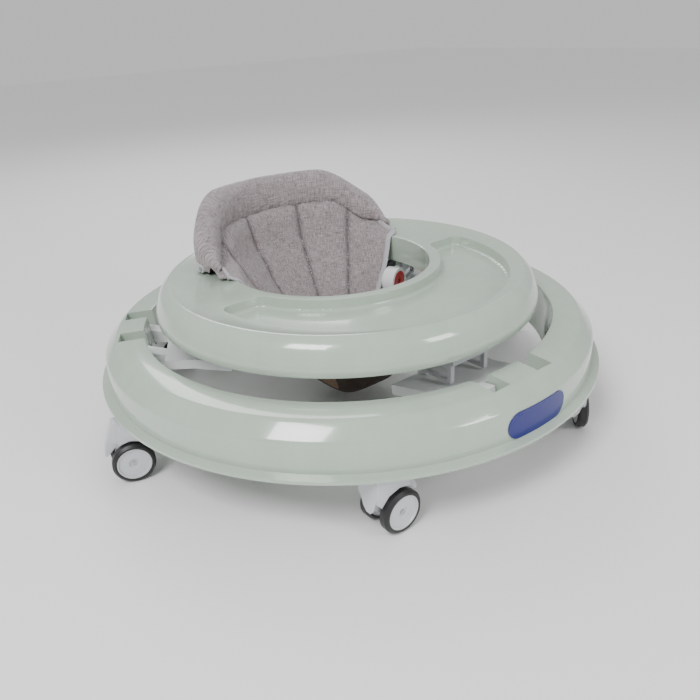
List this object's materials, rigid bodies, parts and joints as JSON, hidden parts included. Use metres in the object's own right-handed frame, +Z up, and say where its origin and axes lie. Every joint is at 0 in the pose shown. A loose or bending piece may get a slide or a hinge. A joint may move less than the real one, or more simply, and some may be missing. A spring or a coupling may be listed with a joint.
{
  "type": "baby walker",
  "caption": "Round baby walker: hollow base ring on twin-wheel castors, tray raised on hinged legs, fabric seat, folding backrest and side release buttons.",
  "frame": {"origin": "on the floor under the centre of the base ring, where the tyres touch", "axes": "+Z up; the front, with the blank badge, faces -Y; +X is to the sitting child's left when it faces the front (-Y)"},
  "size_m": [0.7526, 0.71, 0.306],
  "materials": {
    "sage_plastic": "glossy pale sage-green moulded plastic",
    "white_plastic": "glossy off-white moulded plastic",
    "castor_plastic": "satin light-grey plastic",
    "grey_plastic": "satin light grey",
    "black_plastic": "matt black",
    "red_plastic": "glossy red",
    "badge_plastic": "glossy blue, blank",
    "seat_fabric": "heathered grey-mauve woven cloth, quilted",
    "wheel_rubber": "satin black",
    "steel": "bare steel"
  },
  "bodies": {
    "base": {"base_ring": "sage_plastic", "front_badge": "badge_plastic", "leg_hinge_pins": "steel"},
    "tray": {"tray": "sage_plastic", "leg_guide_front": "grey_plastic", "leg_guide_rear_left": "grey_plastic", "leg_guide_rear_right": "grey_plastic", "guide_screws": "steel", "seat_sling": "seat_fabric", "hinge_bracket_left": "black_plastic", "hinge_bracket_right": "black_plastic", "backrest_pins": "steel", "lock_bracket_left": "black_plastic", "lock_bracket_right": "black_plastic", "lock_knob_left": "white_plastic", "lock_knob_right": "white_plastic", "button_springs": "steel", "button_screws": "steel"},
    "backrest": {"backrest_frame": "grey_plastic", "back_panel": "seat_fabric", "back_roll": "seat_fabric"},
    "leg_front": {"leg_front": "white_plastic", "leg_tip_pin_front": "steel"},
    "leg_rear_left": {"leg_rear_left": "white_plastic", "leg_tip_pin_rear_left": "steel"},
    "leg_rear_right": {"leg_rear_right": "white_plastic", "leg_tip_pin_rear_right": "steel"},
    "button_left": {"lock_button_left": "red_plastic"},
    "button_right": {"lock_button_right": "red_plastic"},
    "castor_1": {"castor_1_hood": "castor_plastic", "castor_1_axle": "steel"},
    "wheels_1": {"castor_1_hub_a": "castor_plastic", "castor_1_hub_b": "castor_plastic", "castor_1_tyres": "wheel_rubber"},
    "castor_2": {"castor_2_hood": "castor_plastic", "castor_2_axle": "steel"},
    "wheels_2": {"castor_2_hub_a": "castor_plastic", "castor_2_hub_b": "castor_plastic", "castor_2_tyres": "wheel_rubber"},
    "castor_3": {"castor_3_hood": "castor_plastic", "castor_3_axle": "steel"},
    "wheels_3": {"castor_3_hub_a": "castor_plastic", "castor_3_hub_b": "castor_plastic", "castor_3_tyres": "wheel_rubber"},
    "castor_4": {"castor_4_hood": "castor_plastic", "castor_4_axle": "steel"},
    "wheels_4": {"castor_4_hub_a": "castor_plastic", "castor_4_hub_b": "castor_plastic", "castor_4_tyres": "wheel_rubber"},
    "castor_5": {"castor_5_hood": "castor_plastic", "castor_5_axle": "steel"},
    "wheels_5": {"castor_5_hub_a": "castor_plastic", "castor_5_hub_b": "castor_plastic", "castor_5_tyres": "wheel_rubber"},
    "castor_6": {"castor_6_hood": "castor_plastic", "castor_6_axle": "steel"},
    "wheels_6": {"castor_6_hub_a": "castor_plastic", "castor_6_hub_b": "castor_plastic", "castor_6_tyres": "wheel_rubber"}
  },
  "joints": [
    {"name": "tray_lift", "type": "slide", "parent": "base", "child": "tray", "axis": [0, 0, 1], "range_m": [0, 0.093]},
    {"name": "leg_front_hinge", "type": "hinge", "parent": "base", "child": "leg_front", "pos_m": [0, -0.303, 0.118], "axis": [1, 0, 0], "range_deg": [0, 49.5]},
    {"name": "leg_rear_left_hinge", "type": "hinge", "parent": "base", "child": "leg_rear_left", "pos_m": [-0.26241, 0.1515, 0.118], "axis": [-0.5, -0.866, 0], "range_deg": [0, 49.5]},
    {"name": "leg_rear_right_hinge", "type": "hinge", "parent": "base", "child": "leg_rear_right", "pos_m": [0.26241, 0.1515, 0.118], "axis": [-0.5, 0.866, 0], "range_deg": [0, 49.5]},
    {"name": "backrest_fold", "type": "hinge", "parent": "tray", "child": "backrest", "pos_m": [0, 0.118, 0.214], "axis": [1, 0, 0], "range_deg": [0, 95]},
    {"name": "button_left_press", "type": "slide", "parent": "tray", "child": "button_left", "axis": [0.309, 0.9511, 0], "range_m": [0, 0.003], "stiffness_N_per_m": 400, "springref_m": -0.003},
    {"name": "button_right_press", "type": "slide", "parent": "tray", "child": "button_right", "axis": [-0.309, 0.9511, 0], "range_m": [0, 0.003], "stiffness_N_per_m": 400, "springref_m": -0.003},
    {"name": "castor_1_swivel", "type": "hinge", "parent": "base", "child": "castor_1", "pos_m": [-0.1823, -0.27027, 0.1], "axis": [0, 0, 1], "continuous": true},
    {"name": "wheels_1_roll", "type": "hinge", "parent": "castor_1", "child": "wheels_1", "pos_m": [-0.1643, -0.27058, 0.027], "axis": [0.0175, 0.9998, 0], "continuous": true},
    {"name": "castor_2_swivel", "type": "hinge", "parent": "base", "child": "castor_2", "pos_m": [0.14291, -0.29301, 0.1], "axis": [0, 0, 1], "continuous": true},
    {"name": "wheels_2_roll", "type": "hinge", "parent": "castor_2", "child": "wheels_2", "pos_m": [0.15564, -0.28028, 0.027], "axis": [-0.7071, 0.7071, 0], "continuous": true},
    {"name": "castor_3_swivel", "type": "hinge", "parent": "base", "child": "castor_3", "pos_m": [0.32521, -0.02274, 0.1], "axis": [0, 0, 1], "continuous": true},
    {"name": "wheels_3_roll", "type": "hinge", "parent": "castor_3", "child": "wheels_3", "pos_m": [0.34232, -0.01718, 0.027], "axis": [-0.309, 0.9511, 0], "continuous": true},
    {"name": "castor_4_swivel", "type": "hinge", "parent": "base", "child": "castor_4", "pos_m": [0.1823, 0.27027, 0.1], "axis": [0, 0, 1], "continuous": true},
    {"name": "wheels_4_roll", "type": "hinge", "parent": "castor_4", "child": "wheels_4", "pos_m": [0.19921, 0.27642, 0.027], "axis": [-0.342, 0.9397, 0], "continuous": true},
    {"name": "castor_5_swivel", "type": "hinge", "parent": "base", "child": "castor_5", "pos_m": [-0.14291, 0.29301, 0.1], "axis": [0, 0, 1], "continuous": true},
    {"name": "wheels_5_roll", "type": "hinge", "parent": "castor_5", "child": "wheels_5", "pos_m": [-0.15108, 0.27697, 0.027], "axis": [0.891, -0.454, 0], "continuous": true},
    {"name": "castor_6_swivel", "type": "hinge", "parent": "base", "child": "castor_6", "pos_m": [-0.32521, 0.02274, 0.1], "axis": [0, 0, 1], "continuous": true},
    {"name": "wheels_6_roll", "type": "hinge", "parent": "castor_6", "child": "wheels_6", "pos_m": [-0.34232, 0.0283, 0.027], "axis": [-0.309, -0.9511, 0], "continuous": true}
  ],
  "couplings": [
    {"joint": "leg_front_hinge", "follows": "tray_lift", "rad_per_m": 9.28},
    {"joint": "leg_rear_left_hinge", "follows": "tray_lift", "rad_per_m": 9.28},
    {"joint": "leg_rear_right_hinge", "follows": "tray_lift", "rad_per_m": 9.28}
  ]
}
